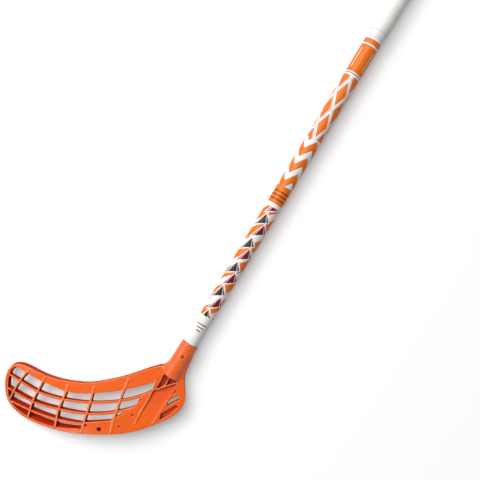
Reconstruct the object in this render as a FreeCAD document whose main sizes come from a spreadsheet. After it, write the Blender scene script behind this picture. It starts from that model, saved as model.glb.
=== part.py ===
import FreeCAD, Part
import os
import Sketcher

Vector = FreeCAD.Vector

# Floorball stick, lying with the back of its blade up.
# The shaft's axis is the X axis, from the butt at the origin to the blade, and Z points up.

# Driving dimensions: millimetres, degrees, or plain ratios where the note says so
SIZES = [
    ("shaft_length", 870.0, "composite tube from end to end"),
    ("tube_wall", 1.6, "wall of the composite tube"),
    ("lower_diameter", 21.5, "tube at the blade"),
    ("butt_diameter", 25.2, "tube under the grip"),
    ("parallel_length", 60.0, "bare stretch above the socket before the tube widens"),
    ("socket_depth", 50.0, "length of tube inside the blade"),
    ("socket_clearance", 0.1, "radial room round the tube in the socket"),
    ("glue_line", 0.05, "radial room under film, tape and grip"),
    ("film_thickness", 0.25, "printed film"),
    ("film_mouth_gap", 0.4, "bare ring between film and socket"),
    ("grip_length", 299.0, "soft wrap on the butt end"),
    ("grip_thickness", 2.0, "soft wrap"),
    ("grip_edge", 1.2, "bevel at both ends of the wrap"),
    ("grip_cap_gap", 0.3, "room between wrap and cap"),
    ("band_length", 11.0, "finishing tape below the grip"),
    ("band_thickness", 0.45, "finishing tape"),
    ("cap_thickness", 4.0, "flange of the end cap"),
    ("cap_diameter", 28.4, "flange of the end cap"),
    ("cap_bevel", 1.4, "outer edge of the flange"),
    ("plug_length", 26.0, "plug of the end cap in the tube"),
    ("plug_clearance", 0.05, "radial room round the plug"),
    ("plug_wall", 2.4, "wall of the hollow plug"),
    ("plug_bevel", 1.0, "nose of the plug"),
    ("lie_angle", 59.0, "angle between shaft and the blade's length"),
    ("blade_reach", 266.0, "from the socket mouth to the toe, along the blade"),
    ("plate_thickness", 12.0, "rim and ribs of the blade"),
    ("back_rise", 13.0, "how the back climbs from heel to middle"),
    ("hook_drop", 20.08, "how the toe falls towards the floor"),
    ("toe_lean", 0.58, "slope of the toe's lower side, a ratio"),
    ("heel_lean", 0.3, "slope of the heel's lower side, a ratio"),
    ("crown", 0.0046, "roundness of the back across the toe, per millimetre"),
    ("rim_flare", 0.0025, "how the rim's upper wall spreads towards the front, per millimetre"),
    ("toe_flare", 0.005, "how much more it spreads at the toe, per millimetre"),
    ("toe_rib_taper", 0.3, "how much narrower the ribs are at the toe, a ratio"),
    ("cross_rib_width", 3.2, "ribs across the blade"),
    ("cross_rib_rise", 0.8, "how far they stand proud of the back"),
    ("long_rib_width", 3.8, "ribs along the blade"),
    ("long_rib_sink", 0.3, "how far they lie below the back"),
    ("front_setback", 0.6, "how far all ribs lie behind the front face"),
    ("heel_rib_width", 2.0, "raised ribs on the heel"),
    ("panel_depth", 4.0, "upper end of the panel sunk in the heel"),
    ("panel_run", 57.0, "length over which the panel comes up to the back"),
    ("recess_depth", 8.5, "deep pockets in the heel"),
    ("shallow_recess_depth", 5.0, "long pocket below the heel slot"),
    ("nick_depth", 1.4, "small pocket beside the heel slot"),
    ("dimple_depth", 1.2, "ejector dimples"),
    ("dimple_diameter", 4.0, "ejector dimples"),
    ("rim_hole_diameter", 6.5, "round blind hole in the lower rim"),
    ("rim_hole_depth", 8.0, "round blind hole in the lower rim"),
    ("socket_mouth_diameter", 25.4, "outside of the socket at its mouth"),
    ("socket_root_diameter", 29.2, "outside of the socket at its lower end"),
    ("socket_floor", 4.0, "closed end of the socket, past the tube"),
    ("socket_nose", 8.0, "length over which the closed end sinks into the heel"),
    ("socket_nose_diameter", 11.0, "blunt end of that nose"),
    ("screw_distance", 20.5, "from the socket mouth to the screw"),
    ("screw_seat_wall", 1.1, "plastic under the screw head"),
    ("screw_head_diameter", 4.6, "screw head"),
    ("screw_head_height", 1.0, "screw head"),
    ("screw_shank_diameter", 2.9, "screw shank"),
    ("screw_length", 8.0, "screw shank"),
    ("screw_clearance", 0.06, "radial room round head and shank"),
    ("cross_slot_width", 0.8, "driver slot"),
    ("cross_slot_length", 3.0, "driver slot"),
    ("cross_slot_depth", 0.6, "driver slot"),
]

doc = FreeCAD.newDocument("floorball_stick")
sheet = doc.addObject("Spreadsheet::Sheet", "sizes")
for row, (alias, number, note) in enumerate(SIZES, start=1):
    sheet.set("A%d" % row, alias)
    sheet.set("B%d" % row, str(number))
    sheet.setAlias("B%d" % row, alias)
    sheet.set("C%d" % row, note)
doc.recompute()


def size(alias):
    return float(sheet.get(alias))


def value(expression):
    return float(sheet.evalExpression(expression))


def origin_plane(body, role):
    return [item for item in body.Origin.OriginFeatures if item.Role == role][0]


# Pieces turned about the shaft's axis

def profile_sketch(body, name, corners, role):
    """Closed outline of straight lines whose corners follow the sheet."""
    sketch = body.newObject("Sketcher::SketchObject", name)
    sketch.AttachmentSupport = (origin_plane(body, role), [""])
    sketch.MapMode = "FlatFace"
    points = [Vector(value(first), value(second), 0) for first, second in corners]
    count = len(points)
    for k in range(count):
        sketch.addGeometry(Part.LineSegment(points[k], points[(k + 1) % count]), False)
    for k in range(count):
        sketch.addConstraint(Sketcher.Constraint("Coincident", k, 2, (k + 1) % count, 1))
    for k, (first, second) in enumerate(corners):
        pairs = (("DistanceX", -2, first, points[k].x), ("DistanceY", -1, second, points[k].y))
        for kind, axis, expression, start in pairs:
            if expression == "0":
                sketch.addConstraint(Sketcher.Constraint("PointOnObject", k, 1, axis))
            else:
                index = sketch.addConstraint(Sketcher.Constraint(kind, -1, 1, k, 1, start))
                sketch.setExpression("Constraints[%d]" % index, expression)
    return sketch


def turned_body(label, corners):
    """Solid turned about X: each corner is a distance from the piece's butt side and a radius."""
    body = doc.addObject("PartDesign::Body", label)
    sketch = profile_sketch(body, label + "_profile", corners, "XY_Plane")
    turn = body.newObject("PartDesign::Revolution", label + "_turn")
    turn.Profile = sketch
    turn.ReferenceAxis = (sketch, ["H_Axis"])
    turn.Angle = 360.0
    body.Tip = turn
    return body


LOWER_RADIUS = "sizes.lower_diameter / 2"
BUTT_RADIUS = "sizes.butt_diameter / 2"
BORE_AT_BUTT = "(sizes.butt_diameter / 2 - sizes.tube_wall)"
MOUTH = "(sizes.cap_thickness + sizes.shaft_length - sizes.socket_depth)"
SCREW_SEAT = "(sizes.lower_diameter / 2 + sizes.socket_clearance + sizes.screw_seat_wall)"
GRIP_FOOT = "(sizes.cap_thickness + sizes.grip_cap_gap + sizes.grip_length)"


def make_shaft_tube():
    taper_start = "sizes.grip_cap_gap + sizes.grip_length"
    taper_end = "sizes.shaft_length - sizes.socket_depth - sizes.parallel_length"
    corners = [
        ("0", BUTT_RADIUS),
        (taper_start, BUTT_RADIUS),
        (taper_end, LOWER_RADIUS),
        ("sizes.shaft_length", LOWER_RADIUS),
        ("sizes.shaft_length", LOWER_RADIUS + " - sizes.tube_wall"),
        (taper_end, LOWER_RADIUS + " - sizes.tube_wall"),
        (taper_start, BUTT_RADIUS + " - sizes.tube_wall"),
        ("0", BUTT_RADIUS + " - sizes.tube_wall"),
    ]
    body = turned_body("shaft_tube", corners)
    body.setExpression("Placement.Base.x", "sizes.cap_thickness")
    hole = body.newObject("Sketcher::SketchObject", "tube_screw_hole")
    hole.AttachmentSupport = (origin_plane(body, "XY_Plane"), [""])
    hole.MapMode = "FlatFace"
    spot = "sizes.shaft_length - sizes.socket_depth + sizes.screw_distance"
    radius = "sizes.screw_shank_diameter / 2 + sizes.screw_clearance"
    hole.addGeometry(Part.Circle(Vector(value(spot), 0, 0), Vector(0, 0, 1), value(radius)), False)
    hole.addConstraint(Sketcher.Constraint("PointOnObject", 0, 3, -1))
    index = hole.addConstraint(Sketcher.Constraint("DistanceX", -1, 1, 0, 3, value(spot)))
    hole.setExpression("Constraints[%d]" % index, spot)
    index = hole.addConstraint(Sketcher.Constraint("Radius", 0, value(radius)))
    hole.setExpression("Constraints[%d]" % index, radius)
    doc.recompute()
    before = body.Shape.Volume
    pocket = body.newObject("PartDesign::Pocket", "tube_screw_drilling")
    pocket.Profile = hole
    pocket.Reversed = True
    pocket.setExpression("Length", "sizes.lower_diameter")
    body.Tip = pocket
    doc.recompute()
    if body.Shape.Volume >= before:
        raise RuntimeError("the screw hole missed the tube")
    return body


def make_printed_film():
    inner_top = BUTT_RADIUS + " + sizes.glue_line"
    inner_low = LOWER_RADIUS + " + sizes.glue_line"
    foot = "sizes.shaft_length - sizes.socket_depth - sizes.grip_cap_gap - sizes.grip_length"
    taper_end = foot + " - sizes.parallel_length"
    film_end = foot + " - sizes.film_mouth_gap"
    corners = [
        ("0", inner_top),
        ("0", inner_top + " + sizes.film_thickness"),
        (taper_end, inner_low + " + sizes.film_thickness"),
        (film_end, inner_low + " + sizes.film_thickness"),
        (film_end, inner_low),
        (taper_end, inner_low),
    ]
    body = turned_body("printed_film", corners)
    body.setExpression("Placement.Base.x", GRIP_FOOT)
    return body


def make_grip_tape():
    inner = BUTT_RADIUS + " + sizes.glue_line"
    outer = inner + " + sizes.grip_thickness"
    corners = [
        ("0", inner),
        ("0", outer + " - sizes.grip_edge"),
        ("sizes.grip_edge", outer),
        ("sizes.grip_length - sizes.grip_edge", outer),
        ("sizes.grip_length", outer + " - sizes.grip_edge"),
        ("sizes.grip_length", inner),
    ]
    body = turned_body("grip_tape", corners)
    body.setExpression("Placement.Base.x", "sizes.cap_thickness + sizes.grip_cap_gap")
    return body


def make_grip_end_band():
    # The film under the band narrows at the same rate as the tube
    bare = "(sizes.shaft_length - sizes.socket_depth - sizes.grip_cap_gap - sizes.grip_length)"
    taper = "(sizes.butt_diameter - sizes.lower_diameter) / 2 / (%s - sizes.parallel_length)" % bare
    drop = taper + " * sizes.band_length"
    inner = BUTT_RADIUS + " + 2 * sizes.glue_line + sizes.film_thickness"
    corners = [
        ("0", inner),
        ("0", inner + " + sizes.band_thickness"),
        ("sizes.band_length", inner + " + sizes.band_thickness - " + drop),
        ("sizes.band_length", inner + " - " + drop),
    ]
    body = turned_body("grip_end_band", corners)
    body.setExpression("Placement.Base.x", GRIP_FOOT)
    return body


def make_end_cap():
    flange = "sizes.cap_diameter / 2"
    plug = BORE_AT_BUTT + " - sizes.plug_clearance"
    hollow = plug + " - sizes.plug_wall"
    nose = "sizes.cap_thickness + sizes.plug_length"
    corners = [
        ("0", "0"),
        ("0", flange + " - sizes.cap_bevel"),
        ("sizes.cap_bevel", flange),
        ("sizes.cap_thickness", flange),
        ("sizes.cap_thickness", plug),
        (nose + " - sizes.plug_bevel", plug),
        (nose, plug + " - sizes.plug_bevel"),
        (nose, hollow),
        ("sizes.cap_thickness", hollow),
        ("sizes.cap_thickness", "0"),
    ]
    return turned_body("end_cap", corners)


# Blade: its own frame has the socket mouth at the origin, X along the blade away from the toe,
# Y towards the shaft and Z out of the back face. Outlines are points on the back face.

DRAWN_REACH = 266.0
CROWN_LINE = -80.0
DEEP = -30.0
PROUD = 30.0

RIM_OUTLINE = [
    (-20, -11), (-28, -23), (-35, -28.5), (-49, -33), (-69, -39), (-89, -45.5), (-122, -52.8), (-141, -55.5),
    (-161, -55), (-186, -51.5), (-204, -46.5), (-224, -38), (-238, -31.5), (-246, -29.5), (-253, -29.5),
    (-258.5, -32.5), (-262.5, -40), (-265.3, -50), (-266, -62), (-264.5, -79), (-258.5, -92.5), (-244, -106),
    (-215, -119), (-154, -128.8), (-111, -128.3), (-79, -124.3), (-51, -115.3), (-30, -106.5), (-12.5, -93),
    (-6.5, -77), (-8, -65), (-8.5, -55), (-7, -46), (-3, -36), (1, -27), (5, -17),
]
WINDOW_TOP = [
    (-49, -54), (-98, -66), (-144, -70.5), (-173, -69), (-201, -59), (-214, -53.5), (-234, -42.5),
    (-251, -33.5),
]
WINDOW_CORNER = [(-251, -33.5), (-256.5, -37.5)]
WINDOW_TOE = [(-256.5, -37.5), (-260, -48), (-261.5, -62), (-260, -80), (-256, -89.5)]
WINDOW_FOOT = [(-256, -89.5), (-242.5, -102.7), (-214, -115.6), (-191, -120.4), (-154, -121.3)]
WINDOW_HEEL = [
    (-154, -121.3), (-151.3, -111.5), (-114, -108.5), (-78, -89), (-71.5, -77), (-56, -67), (-53, -65),
    (-49, -54),
]
CROSS_RIBS = [
    [(-231, -38), (-244, -53.5), (-254, -69.5), (-260.5, -82)],
    [(-207.5, -46.5), (-218, -68), (-226, -83.5), (-231, -97), (-235, -108.5)],
    [(-175, -59), (-181, -78), (-187.5, -93), (-191.5, -109), (-195, -121.5)],
    [(-137.5, -61), (-142, -82), (-147, -98.5), (-152, -114), (-155.5, -126.5)],
    [(-88, -50.5), (-99.5, -80), (-104.5, -95.5), (-109.5, -110.5), (-113, -127)],
]
LONG_RIBS = [
    [(-262, -43.5), (-244, -54.3), (-218, -69), (-181, -79.5), (-142, -83.5), (-99.5, -81.2), (-52, -66.8)],
    [(-264, -63), (-254, -69.5), (-226, -84), (-187.5, -94), (-147, -99.5), (-104.5, -96.5), (-74, -88.8)],
    [(-261.5, -83), (-231, -97), (-191.5, -109), (-148, -114.5)],
]
HEEL_RIBS = [
    [(-49, -52.5), (-53.5, -66.5), (-66, -90), (-78.5, -113.5)],
    [(-30, -46.5), (-36, -58.5), (-47.5, -65)],
    [(-19, -55.5), (-35, -60.5), (-47.5, -65)],
    [(-20.3, -62), (-28, -73.5), (-38, -89), (-53.5, -114)],
]
PANEL = [
    (-52.8, -67.4), (-47.5, -65), (-35, -60.5), (-20.5, -56), (-20.7, -62.6), (-28, -73.5), (-38, -89),
    (-52, -111.5), (-74, -115.5), (-76.6, -111.6),
]
SHAFT_POCKET = [(-37, -43), (-30.2, -47.2), (-36, -58.5), (-46.5, -64.3), (-47.5, -62.5), (-41, -52)]
HEEL_POCKET = [(-30.2, -47.2), (-20.5, -53), (-20, -55.7), (-35.5, -60.3), (-36, -58.5)]
LOWER_POCKET = [(-41, -99), (-19.5, -87), (-17.5, -89.8), (-30, -100.8), (-43.8, -108.5)]
SMALL_POCKET = [(-21, -63.1), (-19.5, -71), (-27, -72)]
HEEL_SLOT = [(-30.5, -80.8), (-16, -74), (-14.6, -78.8), (-33, -88.6)]
CORNER_SLOT = [(-149.5, -114), (-144.5, -115), (-150.5, -118)]
RIM_HOLE = (-129, -121)
DIMPLES = [(-100, -117), (-82, -101), (-71, -80)]

# How far some walls lean in towards the front, as a ratio at points of the outlines above
FOOT_LEANS = {
    (-256, -89.5): 0.2, (-242.5, -102.7): 0.36, (-214, -115.6): 0.36, (-191, -120.4): 0.22, (-154, -121.3): 0.08,
}
PANEL_LEANS = {(-52.8, -67.4): -1.1, (-76.6, -111.6): -0.6, (-74, -115.5): -0.6}


def stretch(along):
    return along * size("blade_reach") / DRAWN_REACH


def back_height(along, across):
    far = -along / size("blade_reach")
    side = across - CROWN_LINE
    lean = size("toe_lean") * far ** 3 - size("heel_lean") * far
    climb = size("back_rise") * far - size("hook_drop") * far ** 3
    return size("plate_thickness") / 2 + climb + lean * side - size("crown") * far ** 2 * side ** 2


def flare(along, across):
    """Extra slope of the rim's upper wall, which grows away from the crown line and to the toe."""
    far = -along / size("blade_reach")
    spread = size("rim_flare") + size("toe_flare") * far ** 2
    return spread * max(across - CROWN_LINE, 0.0)


def square_to_back(along, across, level, spread=0.0):
    """Point at a level on the line that stands square to the back face, or spread from that."""
    step = 0.5
    slope_along = (back_height(along + step, across) - back_height(along - step, across)) / (2 * step)
    slope_across = (back_height(along, across + step) - back_height(along, across - step)) / (2 * step)
    climb = level - back_height(along, across)
    return Vector(along - slope_along * climb, across - (slope_across + spread) * climb, level)


def edge_through(points):
    if len(points) == 2:
        return Part.LineSegment(points[0], points[1]).toShape()
    curve = Part.BSplineCurve()
    curve.interpolate(points)
    return curve.toShape()


def square_prism(name, stretches, low, high, leans=None):
    """Solid through the blade whose walls stand square to the back face, or lean from that."""
    wires = []
    for level in (low, high):
        edges = []
        for points in stretches:
            line = []
            for x, y in points:
                spread = leans.get((x, y), 0.0) if leans else 0.0
                line.append(square_to_back(stretch(x), y, level, spread))
            edges.append(edge_through(line))
        wires.append(Part.Wire(edges))
    feature = doc.addObject("Part::Feature", name)
    feature.Shape = Part.makeLoft(wires, True, True)
    return feature


def polygon(points):
    closed = points + points[:1]
    return [closed[k:k + 2] for k in range(len(points))]


def pocket_floor(points, depth):
    """Level of a flat pocket floor, a depth below the lowest corner of its mouth."""
    return min(back_height(stretch(x), y) for x, y in points) - size(depth)


def strip(points, width):
    """Outline of a bar that follows a line of points and narrows towards the toe."""
    left = []
    right = []
    for k, (x, y) in enumerate(points):
        before = points[max(k - 1, 0)]
        after = points[min(k + 1, len(points) - 1)]
        run = Vector(after[0] - before[0], after[1] - before[1], 0).normalize()
        half = width / 2 * (1 - size("toe_rib_taper") * (-x / DRAWN_REACH) ** 3)
        left.append((x - run.y * half, y + run.x * half))
        right.append((x + run.y * half, y - run.x * half))
    right.reverse()
    return [left, [left[-1], right[0]], right, [right[-1], left[0]]]


def curved_slab(name, lift, thickness, tilt=0.0):
    """Layer of a thickness below a lifted or tilted copy of the back face, wider than the blade."""
    columns = 9
    rows = 5
    margin = 30.0
    blade_drop = 150.0
    grid = []
    for i in range(columns):
        along = margin - (size("blade_reach") + 2 * margin) * i / (columns - 1)
        line = []
        for k in range(rows):
            across = margin - (blade_drop + 2 * margin) * k / (rows - 1)
            level = back_height(along, across) + lift + tilt * (across - CROWN_LINE)
            line.append(Vector(along, across, level))
        grid.append(line)
    surface = Part.BSplineSurface()
    surface.interpolate(grid)
    feature = doc.addObject("Part::Feature", name)
    feature.Shape = surface.toShape().extrude(Vector(0, 0, -thickness))
    return feature


def common(name, base, tool):
    feature = doc.addObject("Part::Common", name)
    feature.Base = base
    feature.Tool = tool
    return feature


def cut(name, base, tool):
    feature = doc.addObject("Part::Cut", name)
    feature.Base = base
    feature.Tool = tool
    return feature


def fuse(name, shapes):
    feature = doc.addObject("Part::MultiFuse", name)
    feature.Shapes = shapes
    return feature


def along_shaft(feature, depth):
    """Points a cone or cylinder into the blade along the shaft's axis, from a depth past the mouth."""
    start = "vector(-cos(sizes.lie_angle) * %s; -sin(sizes.lie_angle) * %s; 0)" % (depth, depth)
    side = "vector(sin(sizes.lie_angle); -cos(sizes.lie_angle); 0)"
    feature.setExpression("Placement", "placement(%s; rotation(%s; 90))" % (start, side))


def round_cutter(name, spot, diameter, depth):
    """Round hole or dimple, square to the back face."""
    low = square_to_back(stretch(spot[0]), spot[1], back_height(stretch(spot[0]), spot[1]) - depth)
    high = square_to_back(stretch(spot[0]), spot[1], PROUD)
    feature = doc.addObject("Part::Feature", name)
    feature.Shape = Part.makeCylinder(diameter / 2, low.distanceToPoint(high), low, high - low)
    return feature


def bars(name, lines, width, rise):
    """Ribs along lines on the back face, from a rise above it down to the front setback."""
    prisms = []
    for number, points in enumerate(lines, start=1):
        prisms.append(square_prism("%s_%d" % (name, number), strip(points, width), DEEP, PROUD))
    slab = curved_slab(name + "_slab", rise, rise + size("plate_thickness") - size("front_setback"))
    return common(name, slab, fuse(name + "_prisms", prisms))


def make_blade():
    rim_sides = [RIM_OUTLINE, [RIM_OUTLINE[-1], RIM_OUTLINE[0]]]
    rim_leans = {(x, y): flare(stretch(x), y) for x, y in RIM_OUTLINE}
    rim = square_prism("rim_prism", rim_sides, DEEP, PROUD, rim_leans)
    plate = common("plate", curved_slab("plate_slab", 0.0, size("plate_thickness")), rim)
    window_sides = [WINDOW_TOP, WINDOW_CORNER, WINDOW_TOE, WINDOW_FOOT] + polygon(WINDOW_HEEL)[:-1]
    frame = cut("frame", plate, square_prism("window_prism", window_sides, DEEP, PROUD, FOOT_LEANS))
    cross_ribs = bars("cross_ribs", CROSS_RIBS, size("cross_rib_width"), size("cross_rib_rise"))
    long_ribs = bars("long_ribs", LONG_RIBS, size("long_rib_width"), -size("long_rib_sink"))

    socket = doc.addObject("Part::Cone", "socket_outside")
    socket.setExpression("Radius1", "sizes.socket_mouth_diameter / 2")
    socket.setExpression("Radius2", "sizes.socket_root_diameter / 2")
    socket.setExpression("Height", "sizes.socket_depth + sizes.socket_floor")
    along_shaft(socket, "0")
    nose = doc.addObject("Part::Cone", "socket_nose")
    nose.setExpression("Radius1", "sizes.socket_root_diameter / 2")
    nose.setExpression("Radius2", "sizes.socket_nose_diameter / 2")
    nose.setExpression("Height", "sizes.socket_nose")
    along_shaft(nose, "(sizes.socket_depth + sizes.socket_floor)")
    lattice = fuse("lattice", [frame, cross_ribs, long_ribs, socket, nose])

    panel_top = max(y for x, y in PANEL)
    panel_tilt = -size("panel_depth") / size("panel_run")
    panel_lift = -size("panel_depth") + panel_tilt * (CROWN_LINE - panel_top)
    panel_floor = curved_slab("panel_floor", panel_lift, -PROUD, panel_tilt)
    below_panel = pocket_floor(PANEL, "panel_depth") - size("panel_depth")
    panel_prism = square_prism("panel_prism", polygon(PANEL), below_panel, PROUD, PANEL_LEANS)
    hollows = [common("panel_cut", panel_floor, panel_prism)]
    pockets = (
        ("shaft_pocket", SHAFT_POCKET, "recess_depth"),
        ("heel_pocket", HEEL_POCKET, "recess_depth"),
        ("lower_pocket", LOWER_POCKET, "shallow_recess_depth"),
        ("small_pocket", SMALL_POCKET, "nick_depth"),
    )
    for name, points, depth in pockets:
        hollows.append(square_prism(name, polygon(points), pocket_floor(points, depth), PROUD))
    hollows.append(square_prism("heel_slot", polygon(HEEL_SLOT), DEEP, PROUD))
    hollows.append(square_prism("corner_slot", polygon(CORNER_SLOT), DEEP, PROUD))
    hollows.append(round_cutter("rim_hole", RIM_HOLE, size("rim_hole_diameter"), size("rim_hole_depth")))
    for number, spot in enumerate(DIMPLES, start=1):
        dimple = round_cutter("dimple_%d" % number, spot, size("dimple_diameter"), size("dimple_depth"))
        hollows.append(dimple)
    hollowed = cut("hollowed", lattice, fuse("hollows", hollows))
    heel_ribs = bars("heel_ribs", HEEL_RIBS, size("heel_rib_width"), size("cross_rib_rise"))
    whole = fuse("whole", [hollowed, heel_ribs])

    bore = doc.addObject("Part::Cylinder", "socket_bore")
    bore.setExpression("Radius", "sizes.lower_diameter / 2 + sizes.socket_clearance")
    bore.setExpression("Height", "sizes.socket_depth")
    along_shaft(bore, "0")
    screw_seat = doc.addObject("Part::Cylinder", "screw_seat")
    screw_seat.setExpression("Radius", "sizes.screw_head_diameter / 2 + sizes.screw_clearance")
    screw_seat.setExpression("Height", "sizes.socket_root_diameter")
    screw_hole = doc.addObject("Part::Cylinder", "screw_hole")
    screw_hole.setExpression("Radius", "sizes.screw_shank_diameter / 2 + sizes.screw_clearance")
    screw_hole.setExpression("Height", "sizes.socket_root_diameter")
    for feature, level in ((screw_seat, SCREW_SEAT), (screw_hole, "0")):
        feature.setExpression("Placement.Base.x", "-cos(sizes.lie_angle) * sizes.screw_distance")
        feature.setExpression("Placement.Base.y", "-sin(sizes.lie_angle) * sizes.screw_distance")
        feature.setExpression("Placement.Base.z", level)
    blade = cut("blade", whole, fuse("openings", [bore, screw_seat, screw_hole]))
    turn = "rotation(vector(0; 0; 1); 180 - sizes.lie_angle)"
    blade.setExpression("Placement", "placement(vector(%s; 0; 0); %s)" % (MOUTH, turn))
    return blade


# Screw: turned about X with its head at the origin, then stood on the seat with its tip down

def make_blade_screw():
    head = "sizes.screw_head_diameter / 2"
    shank = "sizes.screw_shank_diameter / 2"
    tip = "sizes.screw_head_height + sizes.screw_length"
    corners = [
        ("0", "0"),
        ("0", head + " - sizes.screw_head_height / 3"),
        ("sizes.screw_head_height / 3", head),
        ("sizes.screw_head_height", head),
        ("sizes.screw_head_height", shank),
        (tip + " - " + shank, shank),
        (tip, "0"),
    ]
    body = turned_body("blade_screw", corners)
    arm = "sizes.cross_slot_length / 2"
    half = "sizes.cross_slot_width / 2"
    cross = [
        (half, half), (half, arm), ("-" + half, arm), ("-" + half, half),
        ("-" + arm, half), ("-" + arm, "-" + half), ("-" + half, "-" + half), ("-" + half, "-" + arm),
        (half, "-" + arm), (half, "-" + half), (arm, "-" + half), (arm, half),
    ]
    sketch = profile_sketch(body, "driver_cross", cross, "YZ_Plane")
    doc.recompute()
    before = body.Shape.Volume
    pocket = body.newObject("PartDesign::Pocket", "driver_slot")
    pocket.Profile = sketch
    pocket.Reversed = True
    pocket.setExpression("Length", "sizes.cross_slot_depth")
    body.Tip = pocket
    doc.recompute()
    if body.Shape.Volume >= before:
        raise RuntimeError("the driver slot missed the screw head")
    spot = "vector(%s + sizes.screw_distance; 0; %s + sizes.screw_head_height)" % (MOUTH, SCREW_SEAT)
    body.setExpression("Placement", "placement(%s; rotation(vector(0; 1; 0); 90))" % spot)
    return body


sub_parts = [
    make_shaft_tube(),
    make_printed_film(),
    make_grip_tape(),
    make_grip_end_band(),
    make_end_cap(),
    make_blade(),
    make_blade_screw(),
]
doc.recompute()

for item in doc.Objects:
    if "Invalid" in item.State or "Error" in item.State:
        raise RuntimeError("%s failed: %s" % (item.Name, item.State))
for piece in sub_parts:
    if piece.Shape.isNull() or not piece.Shape.isValid():
        raise RuntimeError("%s has no valid shape" % piece.Label)

os.makedirs("parts", exist_ok=True)
for piece in sub_parts:
    piece.Shape.exportStep(os.path.join("parts", piece.Label + ".step"))
    print("%s: %d solid, %.0f mm3" % (piece.Label, len(piece.Shape.Solids), piece.Shape.Volume))
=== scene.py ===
import math

import bmesh
import bpy
import numpy
from mathutils import Matrix, Vector
from mathutils.bvhtree import BVHTree


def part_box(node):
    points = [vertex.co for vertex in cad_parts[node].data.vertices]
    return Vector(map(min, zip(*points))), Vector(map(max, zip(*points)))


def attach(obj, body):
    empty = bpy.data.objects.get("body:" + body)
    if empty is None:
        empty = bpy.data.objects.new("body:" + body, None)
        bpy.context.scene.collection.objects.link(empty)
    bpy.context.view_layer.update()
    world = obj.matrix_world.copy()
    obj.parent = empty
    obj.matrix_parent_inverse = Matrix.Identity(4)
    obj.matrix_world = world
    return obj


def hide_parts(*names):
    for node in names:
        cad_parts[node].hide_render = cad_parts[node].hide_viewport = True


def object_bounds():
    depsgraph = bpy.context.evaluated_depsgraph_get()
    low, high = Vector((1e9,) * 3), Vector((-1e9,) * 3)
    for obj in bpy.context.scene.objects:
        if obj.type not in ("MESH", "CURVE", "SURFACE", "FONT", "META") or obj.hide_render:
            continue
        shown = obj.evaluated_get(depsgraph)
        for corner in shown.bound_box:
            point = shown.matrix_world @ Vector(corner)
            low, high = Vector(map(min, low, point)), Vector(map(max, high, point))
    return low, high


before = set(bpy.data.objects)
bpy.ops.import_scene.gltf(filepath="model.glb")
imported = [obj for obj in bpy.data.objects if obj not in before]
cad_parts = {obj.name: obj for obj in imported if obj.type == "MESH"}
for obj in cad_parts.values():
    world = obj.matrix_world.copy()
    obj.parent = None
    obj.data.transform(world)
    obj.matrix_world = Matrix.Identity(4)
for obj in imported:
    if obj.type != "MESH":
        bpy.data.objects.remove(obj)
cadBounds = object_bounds()
scene = bpy.context.scene
mm = 0.001
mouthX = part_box("blade")[0].x  # where the shaft enters the blade
floorZ = cadBounds[0].z
print("frame loaded,", len(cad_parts), "nodes, socket mouth at", round(mouthX, 4))


# small helpers for node trees

def addNode(tree, kind, **settings):
    node = tree.nodes.new(kind)
    for name, value in settings.items():
        setattr(node, name, value)
    return node


def feed(tree, socket, value):
    if isinstance(value, bpy.types.NodeSocket):
        tree.links.new(value, socket)
    else:
        socket.default_value = value


def calc(tree, operation, *values):
    node = addNode(tree, "ShaderNodeMath", operation=operation)
    for socket, value in zip(node.inputs, values):
        feed(tree, socket, value)
    return node.outputs[0]


def times(tree, first, second):
    return calc(tree, "MULTIPLY", first, second)


def between(tree, value, low, high):
    return times(tree, calc(tree, "GREATER_THAN", value, low), calc(tree, "LESS_THAN", value, high))


def repeat(tree, value, pitch):
    # 0 to 1 over each pitch
    return calc(tree, "FRACT", calc(tree, "DIVIDE", value, pitch))


def tint(tree, mask, under, over):
    node = addNode(tree, "ShaderNodeMix", data_type="RGBA")
    feed(tree, node.inputs[0], mask)
    feed(tree, node.inputs[6], under)  # the colour sockets of this node
    feed(tree, node.inputs[7], over)
    return node.outputs[2]


def spread(tree, value, low, high):
    node = addNode(tree, "ShaderNodeMapRange")
    feed(tree, node.inputs["Value"], value)
    node.inputs["To Min"].default_value = low
    node.inputs["To Max"].default_value = high
    return node.outputs["Result"]


def paint(red, green, blue):
    # screen colour to the linear colour that a shader takes
    linear = []
    for channel in (red, green, blue):
        level = channel / 255
        linear.append(level / 12.92 if level <= 0.04045 else ((level + 0.055) / 1.055) ** 2.4)
    return (*linear, 1.0)


def readMask(tree, name):
    return addNode(tree, "ShaderNodeAttribute", attribute_name=name).outputs["Fac"]


def seenDirectly(tree):
    # 1 for what the camera sees itself, in a gleam or through something clear
    path = addNode(tree, "ShaderNodeLightPath")
    seen = calc(tree, "MAXIMUM", path.outputs["Is Camera Ray"], path.outputs["Is Glossy Ray"])
    return calc(tree, "MAXIMUM", seen, path.outputs["Is Transmission Ray"])


def newMaterial(name):
    material = bpy.data.materials.new(name)
    material.use_nodes = True
    shader = material.node_tree.nodes["Principled BSDF"]
    return material, material.node_tree, shader


# shared effects

grainDetail = {"Fine": 2.0, "Cloud": 4.0}


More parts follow.
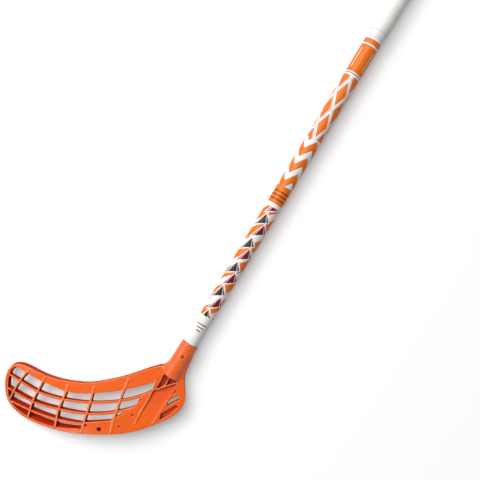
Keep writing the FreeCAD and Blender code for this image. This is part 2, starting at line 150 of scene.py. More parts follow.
def makeGrainGroup():
    group = bpy.data.node_groups.new("mouldGrain", "ShaderNodeTree")
    for name in grainDetail:
        group.interface.new_socket(name + " scale", in_out="INPUT", socket_type="NodeSocketFloat")
        group.interface.new_socket(name, in_out="OUTPUT", socket_type="NodeSocketFloat")
    inside = addNode(group, "NodeGroupInput")
    outside = addNode(group, "NodeGroupOutput")
    place = addNode(group, "ShaderNodeTexCoord").outputs["Object"]
    for name, detail in grainDetail.items():
        noise = addNode(group, "ShaderNodeTexNoise")
        feed(group, noise.inputs["Vector"], place)
        feed(group, noise.inputs["Scale"], inside.outputs[name + " scale"])
        noise.inputs["Detail"].default_value = detail
        group.links.new(noise.outputs["Fac"], outside.inputs[name])
    return group


def makeShaftPlaceGroup():
    # millimetres up from the socket mouth, and turns round the shaft
    group = bpy.data.node_groups.new("shaftPlace", "ShaderNodeTree")
    group.interface.new_socket("Along", in_out="OUTPUT", socket_type="NodeSocketFloat")
    group.interface.new_socket("Turn", in_out="OUTPUT", socket_type="NodeSocketFloat")
    outside = addNode(group, "NodeGroupOutput")
    place = addNode(group, "ShaderNodeSeparateXYZ")
    feed(group, place.inputs[0], addNode(group, "ShaderNodeTexCoord").outputs["Object"])
    along = calc(group, "MULTIPLY_ADD", place.outputs["X"], -1 / mm, mouthX / mm)
    angle = calc(group, "ARCTAN2", place.outputs["Z"], place.outputs["Y"])
    group.links.new(along, outside.inputs["Along"])
    group.links.new(calc(group, "DIVIDE", angle, 2 * math.pi), outside.inputs["Turn"])
    return group


grainGroup = makeGrainGroup()
shaftPlaceGroup = makeShaftPlaceGroup()


def useGrain(tree, fineScale, cloudScale):
    node = addNode(tree, "ShaderNodeGroup", node_tree=grainGroup)
    node.inputs["Fine scale"].default_value = fineScale
    node.inputs["Cloud scale"].default_value = cloudScale
    return node.outputs


def useShaftPlace(tree):
    node = addNode(tree, "ShaderNodeGroup", node_tree=shaftPlaceGroup)
    return node.outputs["Along"], node.outputs["Turn"]


def addBump(tree, shader, height, strength, distance):
    bump = addNode(tree, "ShaderNodeBump")
    bump.inputs["Strength"].default_value = strength
    bump.inputs["Distance"].default_value = distance
    feed(tree, bump.inputs["Height"], height)
    feed(tree, shader.inputs["Normal"], bump.outputs["Normal"])


# materials

bladeFinish = {
    "orange": (244, 100, 5),
    "deep": (236, 90, 5),
    # painted shade on the walls inside the cells
    "wall": (176, 26, 8),
    # painted shade on the outer walls of the rim
    "rim": (166, 54, 12),
    # painted shade on floors sunk below the back
    "hollow": (222, 38, 24),
    # painted shade in concave creases and in the dimples
    "creaseShade": (150, 40, 8),
    # painted highlight on convex edges and on proud ribs
    "edge": (255, 150, 84),
    "maskShare": 0.9,           # how far the painted shade and highlight cover the orange
    "bounce": (150, 140, 136),  # what the floor gets back from it
    "bounceShare": 0.65,
    "scales": (1400.0, 26.0),   # of the fine grain and of the clouds
    "roughness": (0.28, 0.38),
    "wallRoughness": 0.85,
    "specular": 0.12,
    "coat": 0.36,
    "coatRoughness": 0.16,
    "bump": (0.5, 0.00003),     # strength and height
}


def makeBladePlastic():
    finish = bladeFinish
    material, tree, shader = newMaterial("bladePlastic")
    grain = useGrain(tree, *finish["scales"])
    steep = readMask(tree, "steep")
    color = tint(tree, grain["Cloud"], paint(*finish["orange"]), paint(*finish["deep"]))
    # painted shade on walls, the rim, sunken floors, creases and dimples, and a painted highlight on edges
    # and ribs, each by its own mask
    for name in ("wall", "rim", "hollow", "creaseShade", "edge"):
        cover = times(tree, readMask(tree, name), finish["maskShare"])
        color = tint(tree, cover, color, paint(*finish[name]))
    fromFloor = addNode(tree, "ShaderNodeLightPath").outputs["Is Diffuse Ray"]
    color = tint(tree, times(tree, fromFloor, finish["bounceShare"]), color, paint(*finish["bounce"]))
    feed(tree, shader.inputs["Base Color"], color)
    gloss = spread(tree, grain["Cloud"], *finish["roughness"])
    dull = times(tree, steep, finish["wallRoughness"])
    feed(tree, shader.inputs["Roughness"], calc(tree, "MAXIMUM", gloss, dull))
    coat = spread(tree, steep, finish["coat"], 0.0)
    feed(tree, shader.inputs["Coat Weight"], calc(tree, "MAXIMUM", coat, readMask(tree, "sleek")))
    shader.inputs["Specular IOR Level"].default_value = finish["specular"]
    shader.inputs["Coat Roughness"].default_value = finish["coatRoughness"]
    addBump(tree, shader, grain["Fine"], *finish["bump"])
    return material


# the shaft's print: all its places are millimetres up from the socket mouth

pinPrint = {"lines": ((22, 4.0), (27, 6.0), (32, 8.0)), "width": 1.5}  # place and half length of each


def addPins(tree, color, inks, along, across):
    for place, reach in pinPrint["lines"]:
        short = calc(tree, "LESS_THAN", calc(tree, "ABSOLUTE", across), reach)
        line = times(tree, between(tree, along, place, place + pinPrint["width"]), short)
        color = tint(tree, line, color, inks["darkRed"])
    return color


dartPrint = {
    "zone": (46, 228),
    "panelRise": 66.0,            # in one turn round the shaft
    "panelPitch": 33.0,
    "panelShare": 0.6,
    "pitch": 20.0,
    "lean": 0.6,
    "shift": 3.0,                 # to one side and the other
    "rise": (1.25, -0.12),        # leaves a gap between the darts
    "reach": 9.0,                 # half a dart's width at its foot
    "halo": 1.9,
    "shares": (1.0, 0.72, 0.6),   # outline, gap and core
}


def addDarts(tree, color, inks, along, across, turn):
    # slanted panels, and a column of split darts on them
    look = dartPrint
    zone = between(tree, along, *look["zone"])
    slant = calc(tree, "MULTIPLY_ADD", turn, look["panelRise"], along)
    panel = calc(tree, "LESS_THAN", repeat(tree, slant, look["panelPitch"]), look["panelShare"])
    color = tint(tree, times(tree, panel, zone), color, inks["orange"])
    place = calc(tree, "DIVIDE", calc(tree, "MULTIPLY_ADD", across, look["lean"], along), look["pitch"])
    odd = calc(tree, "FLOORED_MODULO", calc(tree, "FLOOR", place), 2.0)
    shift = calc(tree, "MULTIPLY_ADD", odd, 2 * look["shift"], -look["shift"])
    aside = calc(tree, "ABSOLUTE", calc(tree, "ADD", across, shift))
    rise = calc(tree, "MULTIPLY_ADD", calc(tree, "FRACT", place), *look["rise"])
    taper = times(tree, calc(tree, "SUBTRACT", 1.0, rise), look["reach"])
    halo = calc(tree, "LESS_THAN", aside, calc(tree, "ADD", taper, look["halo"]))
    color = tint(tree, times(tree, halo, zone), color, inks["white"])
    dart = times(tree, calc(tree, "GREATER_THAN", rise, 0.0), zone)
    core = tint(tree, odd, inks["black"], inks["darkRed"])
    for share, ink in zip(look["shares"], (inks["darkRed"], inks["white"], core)):
        inside = calc(tree, "LESS_THAN", aside, times(tree, taper, share))
        color = tint(tree, times(tree, inside, dart), color, ink)
    return color


collarPrint = {"zone": (234, 262), "rings": (240, 246, 252), "ringWidth": 1.4}


def addCollar(tree, color, inks, along):
    color = tint(tree, between(tree, along, *collarPrint["zone"]), color, inks["orange"])
    for ring in collarPrint["rings"]:
        color = tint(tree, between(tree, along, ring, ring + collarPrint["ringWidth"]), color, inks["black"])
    return color


chevronPrint = {
    "zone": (262, 342),
    "columns": 3.0,           # round the shaft
    "rise": -34.0,
    "pitch": 27.0,
    "shares": (0.46, 0.5),    # where the white and the thin line end
}


def addChevrons(tree, color, inks, along, turn):
    look = chevronPrint
    zone = between(tree, along, *look["zone"])
    color = tint(tree, zone, color, inks["orange"])
    zigzag = calc(tree, "PINGPONG", times(tree, turn, look["columns"]), 0.5)
    place = repeat(tree, calc(tree, "MULTIPLY_ADD", zigzag, look["rise"], along), look["pitch"])
    whiteEnd, lineEnd = look["shares"]
    white = times(tree, zone, calc(tree, "LESS_THAN", place, whiteEnd))
    line = times(tree, zone, between(tree, place, whiteEnd, lineEnd))
    return tint(tree, line, tint(tree, white, color, inks["white"]), inks["darkRed"])


diamondPrint = {
    "zone": (342, 446),
    "columns": 4.0,
    "pitch": 52.0,
    "bands": (                # from the middle of a diamond outwards
        ("orange", -1.0, 0.33), ("darkRed", 0.33, 0.36), ("orange", 0.42, 0.455), ("orange", 0.62, 2.0),
    ),
}


def addDiamonds(tree, color, inks, along, turn):
    look = diamondPrint
    zone = between(tree, along, *look["zone"])
    color = tint(tree, zone, color, inks["white"])
    sideways = calc(tree, "SUBTRACT", calc(tree, "FRACT", times(tree, turn, look["columns"])), 0.5)
    upward = calc(tree, "SUBTRACT", repeat(tree, along, look["pitch"]), 0.5)
    near = calc(tree, "ADD", calc(tree, "ABSOLUTE", sideways), calc(tree, "ABSOLUTE", upward))
    for ink, low, high in look["bands"]:
        color = tint(tree, times(tree, zone, between(tree, near, low, high)), color, inks[ink])
    return color


topPrint = {
    "bands": (("orange", 452.0, 506.0), ("darkRed", 449.0, 450.2), ("white", 496.0, 498.5)),
    "stripe": (8.6, 9.5),     # to the side of the middle
    "stripeZone": (458.0, 490.0),
}


def addTop(tree, color, inks, along, across):
    # plain, with thin lines below the grip
    for ink, low, high in topPrint["bands"]:
        color = tint(tree, between(tree, along, low, high), color, inks[ink])
    stripe = between(tree, calc(tree, "ABSOLUTE", across), *topPrint["stripe"])
    stripe = times(tree, stripe, between(tree, along, *topPrint["stripeZone"]))
    return tint(tree, stripe, color, inks["white"])


printFinish = {
    "inks": {"white": (240, 240, 238), "orange": (240, 116, 12), "darkRed": (122, 6, 16), "black": (7, 6, 7)},
    "halfRound": 36.0,        # millimetres round half the shaft
    "scales": (900.0, 18.0),
    "roughness": (0.26, 0.38),
    "specular": 0.12,
    "coat": 0.2,
    "coatRoughness": 0.2,
}


def makeShaftPrint():
    finish = printFinish
    material, tree, shader = newMaterial("shaftPrint")
    along, turn = useShaftPlace(tree)
    inks = {name: paint(*tone) for name, tone in finish["inks"].items()}
    half = calc(tree, "FRACT", times(tree, turn, 2.0))  # the front and the back are alike
    across = calc(tree, "MULTIPLY_ADD", half, finish["halfRound"], -finish["halfRound"] / 2)
    color = addPins(tree, inks["white"], inks, along, across)
    color = addDarts(tree, color, inks, along, across, turn)
    color = addCollar(tree, color, inks, along)
    color = addChevrons(tree, color, inks, along, turn)
    color = addDiamonds(tree, color, inks, along, turn)
    color = addTop(tree, color, inks, along, across)
    feed(tree, shader.inputs["Base Color"], color)
    cloud = useGrain(tree, *finish["scales"])["Cloud"]
    feed(tree, shader.inputs["Roughness"], spread(tree, cloud, *finish["roughness"]))
    shader.inputs["Specular IOR Level"].default_value = finish["specular"]
    shader.inputs["Coat Weight"].default_value = finish["coat"]
    shader.inputs["Coat Roughness"].default_value = finish["coatRoughness"]
    return material


gripFinish = {
    "tones": ((246, 244, 240), (240, 236, 231)),
    "scales": (2200.0, 40.0),
    "grain": "Fine",          # what the gloss and the bumps follow
    "roughness": (0.5, 0.68),
    "bump": (0.6, 0.00008),
    "metallic": 0.0,
}
bandFinish = {
    "tones": ((234, 234, 234), (226, 226, 227)),
    "scales": (1600.0, 60.0),
    "grain": "Cloud",
    "roughness": (0.22, 0.34),
    "bump": (0.2, 0.0001),
    "metallic": 0.0,
}
capFinish = {
    "tones": ((34, 34, 35), (48, 47, 47)),
    "scales": (2600.0, 90.0),
    "grain": "Fine",
    "roughness": (0.55, 0.8),
    "bump": (0.5, 0.00006),
    "metallic": 0.0,
}
screwFinish = {
    "tones": ((118, 68, 52), (88, 50, 39)),
    "scales": (4000.0, 500.0),
    "grain": "Fine",
    "roughness": (0.28, 0.46),
    "bump": None,
    "metallic": 1.0,
}


def makeMottled(name, finish):
    # two close tones in soft clouds, with a grain in the gloss
    material, tree, shader = newMaterial(name)
    grain = useGrain(tree, *finish["scales"])
    under, over = finish["tones"]
    feed(tree, shader.inputs["Base Color"], tint(tree, grain["Cloud"], paint(*under), paint(*over)))
    feed(tree, shader.inputs["Roughness"], spread(tree, grain[finish["grain"]], *finish["roughness"]))
    shader.inputs["Metallic"].default_value = finish["metallic"]
    if finish["bump"]:
        addBump(tree, shader, grain[finish["grain"]], *finish["bump"])
    return material


tubeFinish = {
    "dark": (26, 26, 28),
    "light": (52, 52, 55),
    "tow": 2.4,               # width of a strand
    "towsRound": 33.0,
    "repeat": 4.0,
    "over": 1.5,              # of these strands two lie on top
    "roughness": (0.3, 0.45),
}


def makeTubeFibre():
    # twill weave that follows the tube
    finish = tubeFinish
    material, tree, shader = newMaterial("tubeFibre")
    along, turn = useShaftPlace(tree)
    column = calc(tree, "FLOOR", times(tree, turn, finish["towsRound"]))
    row = calc(tree, "FLOOR", calc(tree, "DIVIDE", along, finish["tow"]))
    step = calc(tree, "FLOORED_MODULO", calc(tree, "ADD", column, row), finish["repeat"])
    over = calc(tree, "LESS_THAN", step, finish["over"])
    feed(tree, shader.inputs["Base Color"], tint(tree, over, paint(*finish["dark"]), paint(*finish["light"])))
    feed(tree, shader.inputs["Roughness"], spread(tree, over, *finish["roughness"]))
    return material


bladePlastic = makeBladePlastic()
shaftPrint = makeShaftPrint()
gripSkin = makeMottled("gripSkin", gripFinish)
bandTape = makeMottled("bandTape", bandFinish)
capRubber = makeMottled("capRubber", capFinish)
screwSteel = makeMottled("screwSteel", screwFinish)
tubeFibre = makeTubeFibre()
print("materials made:", len(bpy.data.materials))


# pieces: all their sizes are millimetres

def addPiece(name, mesh, material, body, slot, *nodes):
    piece = bpy.data.objects.new(name, mesh)
    scene.collection.objects.link(piece)
    mesh.materials.clear()
    mesh.materials.append(material)
    mesh.polygons.foreach_set("use_smooth", [True] * len(mesh.polygons))
    mesh.update()
    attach(piece, body)
    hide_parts(*nodes)
    return piece


def meshFrom(bm, name, sharpAngle=40):
    mesh = bpy.data.meshes.new(name)
    bm.to_mesh(mesh)
    bm.free()
    mesh.set_sharp_from_angle(angle=math.radians(sharpAngle))
    return mesh


def outline(bm, points, closed):
    # (distance along the shaft, radius)
    verts = [bm.verts.new((x * mm, 0.0, radius * mm)) for x, radius in points]
    pairs = list(zip(verts, verts[1:]))
    if closed:
        pairs.append((verts[-1], verts[0]))
    return verts + [bm.edges.new(pair) for pair in pairs]


turning = {"merge": 0.002, "cornerAngle": 35, "roundSteps": 3}


def turned(points, steps, roundOff, closed=True):
    bm = bmesh.new()
    rim = outline(bm, points, closed)
    bmesh.ops.spin(bm, geom=rim, cent=(0, 0, 0), axis=(1, 0, 0), angle=2 * math.pi, steps=steps,
                   use_merge=True)
    bmesh.ops.remove_doubles(bm, verts=bm.verts, dist=turning["merge"] * mm)
    bmesh.ops.recalc_face_normals(bm, faces=bm.faces)
    if roundOff:
        sharp = math.radians(turning["cornerAngle"])
        corners = [edge for edge in bm.edges if edge.is_manifold and edge.calc_face_angle() > sharp]
        bmesh.ops.bevel(bm, geom=corners, offset=roundOff * mm, offset_type="OFFSET", affect="EDGES",
                        segments=turning["roundSteps"], profile=0.5, material=-1, clamp_overlap=True)
    return bm


shaftTube = {
    "start": 4.0,
    "end": 874.0,
    "taper": (303.3, 764.0),
    "outer": (12.6, 10.75),   # at the butt and at the blade
    "wall": 1.6,
    "roundOff": 0.15,
    "steps": 96,
}


def makeShaftTube():
    size = shaftTube
    butt, low = size["outer"]
    first, last = size["taper"]
    wall = size["wall"]
    points = [
        (size["start"], butt), (first, butt), (last, low), (size["end"], low),
        (size["end"], low - wall), (last, low - wall), (first, butt - wall), (size["start"], butt - wall),
    ]
    mesh = meshFrom(turned(points, size["steps"], size["roundOff"]), "shaftTube")
    return addPiece("shaftTube", mesh, tubeFibre, "stick", "composite", "shaft_tube")


shaftFilm = {
    "start": 303.3,
    "taperEnd": 764.0,
    "end": 823.6,
    "inner": (12.65, 10.8),
    "thickness": 0.25,
    "roundOff": 0.06,
    "steps": 128,
}


def makeShaftFilm():
    size = shaftFilm
    butt, low = size["inner"]
    skin = size["thickness"]
    points = [
        (size["start"], butt), (size["start"], butt + skin), (size["taperEnd"], low + skin),
        (size["end"], low + skin), (size["end"], low), (size["taperEnd"], low),
    ]
    mesh = meshFrom(turned(points, size["steps"], size["roundOff"]), "shaftFilm")
    return addPiece("shaftFilm", mesh, shaftPrint, "stick", "print", "printed_film")


gripWrap = {
    "start": 4.3,
    "end": 303.3,
    "pitch": 27.0,
    "strip": (  # section of one turn: along the shaft and radius, its lip first
        (-2.2, 14.38), (-2.2, 14.56), (-1.9, 14.64), (1.5, 14.62), (9.45, 14.48), (24.5, 14.34), (26.7, 14.3),
        (27.0, 14.02), (27.0, 12.7), (0.0, 12.7), (0.0, 14.32),
    ),
    "spareTurns": 1.5,        # cut off again at each end
    "edge": 1.1,              # width of the ends that are pressed down
    "pressed": 0.88,
    "skin": 13.82,            # only what lies outside this radius is pressed down
    "cutMerge": 0.0005,
    "nearEnd": 0.01,
    "sharpAngle": 50,
    "steps": 72,
}


def makeGripWrap():
    # a strip wound along the shaft, each turn lapping over the one before
    size = gripWrap
    pitch = size["pitch"]
    turns = int((size["end"] - size["start"]) / pitch) + round(2 * size["spareTurns"])
    start = size["start"] - size["spareTurns"] * pitch
    bm = bmesh.new()
    rim = outline(bm, [(start + x, radius) for x, radius in size["strip"]], True)
    bmesh.ops.spin(bm, geom=rim, cent=(0, 0, 0), axis=(1, 0, 0), dvec=(pitch * mm / size["steps"], 0, 0),
                   angle=2 * math.pi * turns, steps=size["steps"] * turns)
    bmesh.ops.recalc_face_normals(bm, faces=bm.faces)
    for x, side in ((size["start"], -1), (size["end"], 1)):
        for inset, cutAway in ((size["edge"], False), (0.0, True)):
            everything = bm.verts[:] + bm.edges[:] + bm.faces[:]
            bmesh.ops.bisect_plane(bm, geom=everything, dist=size["cutMerge"] * mm, clear_outer=cutAway,
                                   plane_co=((x - side * inset) * mm, 0, 0), plane_no=(side, 0, 0))
        border = [edge for edge in bm.edges if edge.is_boundary]
        bmesh.ops.triangle_fill(bm, edges=border, use_beauty=True)
        for vert in bm.verts:
            radius = math.hypot(vert.co.y, vert.co.z)
            if abs(vert.co.x - x * mm) < size["nearEnd"] * mm and radius > size["skin"] * mm:
                vert.co.yz = vert.co.yz * (1 - size["pressed"] * mm / radius)
    bmesh.ops.recalc_face_normals(bm, faces=bm.faces)
    mesh = meshFrom(bm, "gripWrap", size["sharpAngle"])
    return addPiece("gripWrap", mesh, gripSkin, "stick", "grip", "grip_tape")


gripBand = {
    "start": 303.3,
    "end": 314.3,
    "inner": (12.95, 12.91),
    "thickness": 0.42,
    "roundOff": 0.12,
    "steps": 128,
}


def makeGripBand():
    size = gripBand
    top, low = size["inner"]
    skin = size["thickness"]
    start, end = size["start"], size["end"]
    points = [(start, top), (start, top + skin), (end, low + skin), (end, low)]
    mesh = meshFrom(turned(points, size["steps"], size["roundOff"]), "gripBand")
    return addPiece("gripBand", mesh, bandTape, "stick", "band", "grip_end_band")


buttCap = {
    "dish": (0.45, 7.4, 8.2),  # depth, radius of its floor, radius of its rim
    "flange": 14.2,
    "thickness": 4.0,
    "bevel": 1.4,
    "plug": 10.95,
    "plugEnd": 30.0,
    "plugBevel": 1.0,
    "hollow": 8.55,
    "roundOff": 0.25,
    "steps": 96,
}


def makeButtCap():
    size = buttCap
    depth, floor, rim = size["dish"]
    flange, bevel, under = size["flange"], size["bevel"], size["thickness"]
    plug, end, ease = size["plug"], size["plugEnd"], size["plugBevel"]
    points = [
        (depth, 0.0), (depth, floor), (0.0, rim), (0.0, flange - bevel), (bevel, flange), (under, flange),
        (under, plug), (end - ease, plug), (end, plug - ease), (end, size["hollow"]), (under, size["hollow"]),
        (under, 0.0),
    ]
    mesh = meshFrom(turned(points, size["steps"], size["roundOff"], closed=False), "buttCap")
    return addPiece("buttCap", mesh, capRubber, "cap", "cap", "end_cap")


def ramp(values, low, high):
    return numpy.clip((values - low) / (high - low), 0.0, 1.0)


def readVectors(items, name):
    values = numpy.empty(len(items) * 3)
    items.foreach_get(name, values)
    return values.reshape(-1, 3)


neckForm = {
    "socket": (12.7, 14.6),   # radius at the mouth and at the lower end
    "length": 54.0,
    "start": (8.0, 18.0),     # from the mouth
    "end": (47.0, 54.0),
    "offSocket": (4.0, 8.0),
    "top": (8.5, 11.5),
    "steps": 4,
}


def neckWeights(places):
    # where the socket runs into the plate, clear of the mouth, the screw and the pockets
    form = neckForm
    x, y, z = (places / mm).T
    depth = x - mouthX / mm
    mouth, root = form["socket"]
    offSocket = numpy.abs(numpy.hypot(y, z) - (mouth + (root - mouth) * depth / form["length"]))
    alongNeck = ramp(depth, *form["start"]) * (1 - ramp(depth, *form["end"]))
    return alongNeck * (1 - ramp(offSocket, *form["offSocket"])) * (1 - ramp(z, *form["top"]))


maskForm = {
    "middle": (930.0, -90.0),       # of the surface fitted through the back
    "span": 120.0,
    "degree": 4,
    "fitReach": (4.0, 2.0, 1.0, 0.6, 0.4),
    "backFacing": 0.75,
    "clearRadius": (16.0, 19.0),    # off the socket, or past its end, or sunk in the pockets there
    "clearDepth": (58.0, 66.0),
    "pocketDepth": (0.5, 2.0),
    "pocketStart": (48.0, 54.0),
    "wallFacing": (0.35, 0.8),
    "floorFacing": (0.4, 0.8),
    "hollowRange": (1.0, 7.0),      # depth below the back
    "proudRange": (0.3, 0.65),      # height above it
    "edgeRange": (0.06, 0.2),
    "creaseRange": (0.05, 0.2),
    "leastSteep": 0.05,
    "cellReach": 55.0,              # widest cell
    "rayStart": 0.4,
    "rayDip": 0.02,
    "dimples": ((975.9, -25.5), (952.9, -18.3), (929.2, -19.7)),
    "dimpleRange": (1.5, 2.4),      # radii between which their shade ends
    "dimpleRise": 3.0,
    "dimpleShadeShare": 0.8,
    "ribHighlightShare": 0.6,
    "sleekShare": 0.75,
}


def backTerms(x, y):
    middleX, middleY = maskForm["middle"]
    across, upward = (x - middleX) / maskForm["span"], (y - middleY) / maskForm["span"]
    powers = range(maskForm["degree"] + 1)
    return numpy.stack([across ** i * upward ** k for i in powers for k in powers if i + k in powers], axis=1)


def backSurface(x, y, z, upward):
    # smooth surface through the back faces: height above it, and its normal, at each point
    keep = upward
    for reach in maskForm["fitReach"]:
        shares = numpy.linalg.lstsq(backTerms(x[keep], y[keep]), z[keep], rcond=None)[0]
        rise = z - backTerms(x, y) @ shares
        keep = upward & (numpy.abs(rise) < reach)
    slopeX = (backTerms(x + 1, y) - backTerms(x - 1, y)) @ shares / 2
    slopeY = (backTerms(x, y + 1) - backTerms(x, y - 1)) @ shares / 2
    normals = numpy.stack((-slopeX, -slopeY, numpy.ones(len(x))), axis=1)
    return rise, normals / numpy.linalg.norm(normals, axis=1, keepdims=True)


def facesWall(mesh, places, ways, walls):
    # 1 where a wall looks at another one across a cell, 0 on the outside of the rim
    tree = BVHTree.FromPolygons(places.tolist(), [face.vertices for face in mesh.polygons])
    share = numpy.zeros(len(places))
    for index in numpy.flatnonzero(walls):
        start = places[index] + ways[index] * maskForm["rayStart"] * mm
        if tree.ray_cast(start, ways[index], maskForm["cellReach"] * mm)[0]:
            share[index] = 1.0
    return share


def neighbours(mesh):
    # each edge both ways, and how many edges meet at each point
    pairs = numpy.empty(len(mesh.edges) * 2, dtype=int)
    mesh.edges.foreach_get("vertices", pairs)
    pairs = pairs.reshape(-1, 2)
    first, second = numpy.concatenate((pairs, pairs[:, ::-1])).T
    count = numpy.maximum(numpy.bincount(first, minlength=len(mesh.vertices)), 1)
    return first, second, count


def meanAround(first, values, count):
    return numpy.bincount(first, values, minlength=len(count)) / count


def addMasks(mesh):
    # walls, sunken floors, and ribs and edges that stand out: painted shade on the walls, the rim, sunken
    # floors, creases and dimples, and a painted highlight on ribs and edges
    form = maskForm
    places = readVectors(mesh.vertices, "co")
    normals = readVectors(mesh.vertices, "normal")
    x, y, z = (places / mm).T
    depth = x - mouthX / mm
    clear = numpy.maximum(ramp(numpy.hypot(y, z), *form["clearRadius"]), ramp(depth, *form["clearDepth"]))
    rise, backNormals = backSurface(x, y, z, (normals[:, 2] > form["backFacing"]) & (clear == 1))
    facing = (normals * backNormals).sum(axis=1)
    clear = numpy.maximum(clear, ramp(-rise, *form["pocketDepth"]) * ramp(depth, *form["pocketStart"]))
    steep = (1 - ramp(numpy.abs(facing), *form["wallFacing"])) * clear
    level = normals - backNormals * (facing + form["rayDip"])[:, None]
    inside = facesWall(mesh, places, level, steep > form["leastSteep"])
    flat = ramp(facing, *form["floorFacing"]) * clear
    # painted shade on floors sunk below the back of the blade
    hollow = ramp(-rise, *form["hollowRange"]) * flat
    proud = ramp(rise, *form["proudRange"]) * flat
    first, second, count = neighbours(mesh)
    run = places[second] - places[first]
    dip = -(run * normals[first]).sum(axis=1) / numpy.linalg.norm(run, axis=1)
    bend = meanAround(first, dip, count)
    away = numpy.min([numpy.hypot(x - spotX, y - spotY) for spotX, spotY in form["dimples"]], axis=0)
    # painted shade in the dimples
    dimple = (1 - ramp(away, *form["dimpleRange"])) * (numpy.abs(rise) < form["dimpleRise"])
    # painted shade in concave creases
    creaseShade = ramp(-bend, *form["creaseRange"]) * clear
    # painted highlight on convex edges and on proud ribs
    edge = numpy.maximum(ramp(bend, *form["edgeRange"]), proud * form["ribHighlightShare"]) * clear
    masks = {
        "steep": steep,
        # painted shade on walls that face another wall across a cell
        "wall": steep * inside,
        # painted shade on the outside of the rim
        "rim": steep * (1 - inside),
        # painted shade on sunken floors
        "hollow": hollow,
        # painted shade in creases and dimples
        "creaseShade": numpy.maximum(creaseShade, dimple * form["dimpleShadeShare"]),
        # painted highlight on edges and ribs, left off the dimples
        "edge": edge * (1 - dimple),
        "sleek": (1 - clear) * form["sleekShare"],
    }
    for name in ("wall", "wall", "rim", "rim", "creaseShade", "edge"):  # evened out with the neighbours
        masks[name] = (masks[name] + meanAround(first, masks[name][second], count)) / 2
    for name, values in masks.items():
        mesh.attributes.new(name, "FLOAT", "POINT").data.foreach_set("value", values)
    ribHeight = float(numpy.median(rise[proud > 0.5]))
    print("back of the blade fitted, ribs stand", round(ribHeight, 2), "mm proud")


def evaluated(work):
    return bpy.data.meshes.new_from_object(work.evaluated_get(bpy.context.evaluated_depsgraph_get()))


bladeForm = {
    "merge": 0.001,
    "voxel": 0.6,
    "quickVoxel": 1.2,
    "smoothing": 0.5,
    "blend": 9.0,             # reach of the easing beside the socket
    "softening": 3,           # rounds of easing on all edges
    "mostFaces": 190000,
}


def makeBladeBody():
    # the solid's faces made even, its edges and neck eased, then thinned where it is flat
    size = bladeForm
    voxel = size["voxel"]
    bm = bmesh.new()
    bm.from_mesh(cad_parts["blade"].data)
    bmesh.ops.remove_doubles(bm, verts=bm.verts, dist=size["merge"] * mm)
    work = bpy.data.objects.new("bladeWork", meshFrom(bm, "bladeWork"))
    scene.collection.objects.link(work)
    even = work.modifiers.new("even", "REMESH")
    even.mode = "VOXEL"
    even.voxel_size = voxel * mm
    work.data = evaluated(work)
    work.modifiers.clear()
    steps = neckForm["steps"]
    weights = numpy.round(neckWeights(readVectors(work.data.vertices, "co")) * steps)
    neck = work.vertex_groups.new(name="neck")
    for step in range(1, steps + 1):
        neck.add(numpy.flatnonzero(weights == step).tolist(), step / steps, "REPLACE")
    blend = work.modifiers.new("blend", "SMOOTH")
    blend.factor = size["smoothing"]
    blend.iterations = round((size["blend"] / voxel) ** 2)
    blend.vertex_group = "neck"
    ease = work.modifiers.new("ease", "SMOOTH")
    ease.factor = size["smoothing"]
    ease.iterations = size["softening"]
    triangles = 2 * len(work.data.polygons)
    thin = work.modifiers.new("thin", "DECIMATE")
    thin.ratio = min(1.0, size["mostFaces"] / triangles)
    mesh = evaluated(work)
    mesh.name = "bladeBody"
    bpy.data.objects.remove(work)
    addMasks(mesh)
    print("blade faces", triangles, "thinned to", len(mesh.polygons))
    return addPiece("bladeBody", mesh, bladePlastic, "stick", "blade_plastic", "blade")


bladeScrew = {
    "head": 2.3,
    "headHeight": 1.0,
    "dome": 0.35,             # height of each of its two steps
    "crown": 0.55,            # shares of the head's radius at the top and at the first step
    "shoulder": 0.92,
    "shank": 1.45,
    "length": 8.0,
    "slot": (3.0, 0.8, 0.7),  # length, width, depth
    "slotAngles": (20, 110),
    "sharpAngle": 40,
    "steps": 48,
}


def makeBladeScrew():
    size = bladeScrew
    low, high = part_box("blade_screw")
    spot = (low + high) / 2
    top = high.z / mm
    head, shank, dome = size["head"], size["shank"], size["dome"]
    neck = top - size["headHeight"]
    tip = neck - size["length"]
    points = [
        (top, 0.0), (top, head * size["crown"]), (top - dome, head * size["shoulder"]),
        (top - 2 * dome, head), (neck, head), (neck, shank), (tip + shank, shank), (tip, 0.0),
    ]
    bm = turned(points, size["steps"], 0.0, closed=False)
    upright = Matrix.Rotation(math.radians(-90), 3, "Y")
    bmesh.ops.rotate(bm, verts=bm.verts, cent=(0, 0, 0), matrix=upright)
    bmesh.ops.translate(bm, verts=bm.verts, vec=(spot.x, spot.y, 0))
    bmesh.ops.recalc_face_normals(bm, faces=bm.faces)
    work = bpy.data.objects.new("screwWork", meshFrom(bm, "screwWork"))
    scene.collection.objects.link(work)
    reach, width, depth = size["slot"]
    cutters = []
    for angle in size["slotAngles"]:
        slot = bmesh.new()
        bmesh.ops.create_cube(slot, size=mm)
        bmesh.ops.scale(slot, verts=slot.verts, vec=(reach, width, 2 * depth))
        turn = Matrix.Rotation(math.radians(angle), 3, "Z")
        bmesh.ops.rotate(slot, verts=slot.verts, cent=(0, 0, 0), matrix=turn)
        bmesh.ops.translate(slot, verts=slot.verts, vec=(spot.x, spot.y, high.z))
        cutter = bpy.data.objects.new("slotCutter", meshFrom(slot, "slotCutter"))
        scene.collection.objects.link(cutter)
        cutters.append(cutter)
        carve = work.modifiers.new("slot", "BOOLEAN")
        carve.operation = "DIFFERENCE"
        carve.object = cutter
    mesh = evaluated(work)
    mesh.name = "screwHead"
    for item in cutters + [work]:
        bpy.data.objects.remove(item)
    mesh.set_sharp_from_angle(angle=math.radians(size["sharpAngle"]))
    return addPiece("screwHead", mesh, screwSteel, "screw", "screw", "blade_screw")


makeShaftTube()
makeShaftFilm()
makeGripWrap()
makeGripBand()
makeButtCap()
makeBladeBody()
makeBladeScrew()
print("pieces made")


# floor, light and camera

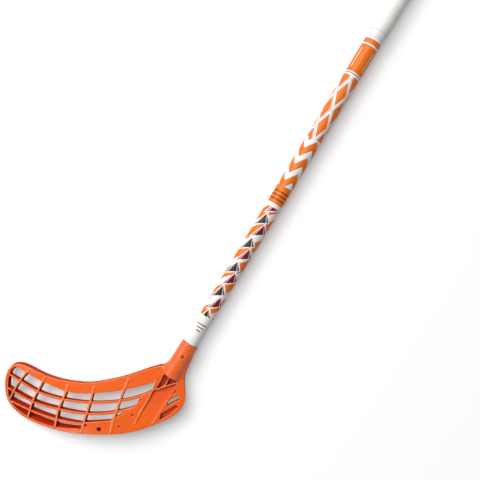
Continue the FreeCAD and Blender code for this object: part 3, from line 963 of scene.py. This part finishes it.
studio = {
    "middle": (0.5, 0.0),
    "floorSize": 40.0,
    "floorTone": 0.8,
    "lift": (0.29, 0.5),      # white added to what the camera sees of the floor, near and far off
    "liftReach": (0.9, 2.4),
    "ambient": 0.11,
    "sky": {"direction": (-0.35, -0.45, 0.82), "strength": 2.25, "width": 50.0},
}
lamps = {
    "strip": {
        "place": (0.55, -1.25, 1.05),
        "aim": (0.55, 0.0, 0.0),
        "power": 14.5,
        "size": (2.6, 0.7),
        "gleamOnly": False,
    },
    "sheen": {                # only seen as a gleam on the toe
        "place": (1.95, 0.0, 0.8),
        "aim": (0.95, -0.1, 0.0),
        "power": 10.0,
        "size": (0.8, 0.8),
        "gleamOnly": True,
    },
}
camera = {
    "place": (0.6599, -0.01607, 0.9595),
    "turn": 121.166,
    "lens": 50.0,
    "sensor": 36.0,
    "clipStart": 0.01,
}


def makeFloor():
    middle = (*studio["middle"], floorZ)
    bm = bmesh.new()
    bmesh.ops.create_grid(bm, x_segments=1, y_segments=1, size=studio["floorSize"] / 2)
    bmesh.ops.translate(bm, verts=bm.verts, vec=middle)
    floor = bpy.data.objects.new("floor", meshFrom(bm, "floor"))
    scene.collection.objects.link(floor)
    material = bpy.data.materials.new("floorPaper")
    material.use_nodes = True
    tree = material.node_tree
    tree.nodes.clear()
    paper = addNode(tree, "ShaderNodeBsdfDiffuse")
    tone = studio["floorTone"]
    paper.inputs["Color"].default_value = (tone, tone, tone, 1)
    away = addNode(tree, "ShaderNodeVectorMath", operation="DISTANCE")
    feed(tree, away.inputs[0], addNode(tree, "ShaderNodeTexCoord").outputs["Object"])
    away.inputs[1].default_value = middle
    near, far = studio["liftReach"]
    share = calc(tree, "DIVIDE", calc(tree, "SUBTRACT", away.outputs["Value"], near), far - near)
    glow = addNode(tree, "ShaderNodeEmission")
    lift = times(tree, seenDirectly(tree), spread(tree, share, *studio["lift"]))
    feed(tree, glow.inputs["Strength"], lift)
    both = addNode(tree, "ShaderNodeAddShader")
    tree.links.new(paper.outputs[0], both.inputs[0])
    tree.links.new(glow.outputs[0], both.inputs[1])
    tree.links.new(both.outputs[0], addNode(tree, "ShaderNodeOutputMaterial").inputs["Surface"])
    floor.data.materials.append(material)


def makeWorld():
    world = bpy.data.worlds.new("studio")
    scene.world = world
    world.use_nodes = True
    tree = world.node_tree
    sky = tree.nodes["Background"]
    sky.inputs["Color"].default_value = (1, 1, 1, 1)
    feed(tree, sky.inputs["Strength"], spread(tree, seenDirectly(tree), studio["ambient"], 1.0))


def placeLamp(light, spot, backward):
    lamp = bpy.data.objects.new(light.name, light)
    lamp.location = spot
    lamp.rotation_euler = backward.to_track_quat("Z", "Y").to_euler()
    scene.collection.objects.link(lamp)
    return lamp


def makeLamps():
    sky = studio["sky"]
    light = bpy.data.lights.new("skyLamp", "SUN")
    light.energy = sky["strength"]
    light.angle = math.radians(sky["width"])
    placeLamp(light, Vector(sky["direction"]) * 2, Vector(sky["direction"]))
    for name, size in lamps.items():
        light = bpy.data.lights.new(name + "Lamp", "AREA")
        light.shape = "RECTANGLE"
        light.size, light.size_y = size["size"]
        light.energy = size["power"]
        place = Vector(size["place"])
        lamp = placeLamp(light, place, place - Vector(size["aim"]))
        lamp.visible_diffuse = not size["gleamOnly"]


def makeCamera():
    lens = bpy.data.cameras.new("photoCamera")
    lens.lens = camera["lens"]
    lens.sensor_width = camera["sensor"]
    lens.clip_start = camera["clipStart"]
    view = bpy.data.objects.new("photoCamera", lens)
    view.location = camera["place"]
    view.rotation_euler = (0, 0, math.radians(camera["turn"]))
    scene.collection.objects.link(view)
    scene.camera = view


makeFloor()
makeWorld()
makeLamps()
makeCamera()
scene.view_settings.view_transform = "Standard"
print("studio made")

bpy.context.view_layer.update()
